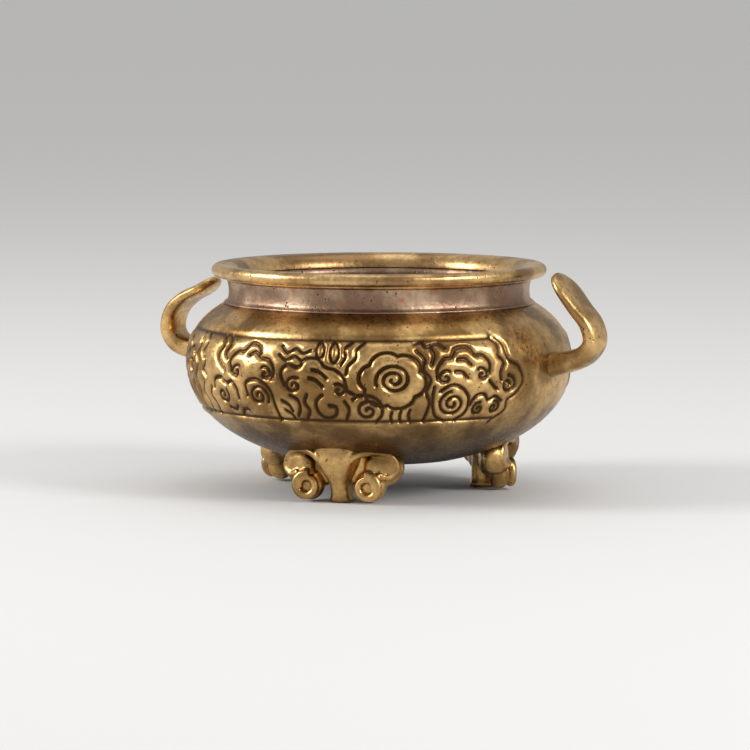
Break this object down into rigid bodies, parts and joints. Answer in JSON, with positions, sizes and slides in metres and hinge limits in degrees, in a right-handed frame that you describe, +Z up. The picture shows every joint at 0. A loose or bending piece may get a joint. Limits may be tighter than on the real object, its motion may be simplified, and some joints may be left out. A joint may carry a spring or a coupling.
{
  "type": "tripod incense burner",
  "caption": "Small round-bellied brass censer with a straight neck, rolled rim, strap handles and scroll feet, open at the top to hold ash and incense.",
  "frame": {"origin": "on the ground under the middle of the bowl", "axes": "+X towards the upright handle, -Y towards the front foot and the front relief, +Z up"},
  "size_m": [0.048, 0.038, 0.0224],
  "materials": {
    "bowl_brass": "aged satin with dark grooves and casting pits",
    "neck_brass": "dull pinkish-brown patina",
    "handle_brass": "rubbed satin",
    "foot_brass": "aged satin with dark grooves"
  },
  "bodies": {
    "root": {"bowl": "bowl_brass", "neck_collar": "neck_brass", "mouth_rim": "neck_brass", "handle_right": "handle_brass", "handle_left": "handle_brass", "foot_front": "foot_brass", "foot_right": "foot_brass", "foot_left": "foot_brass"}
  },
  "joints": []
}
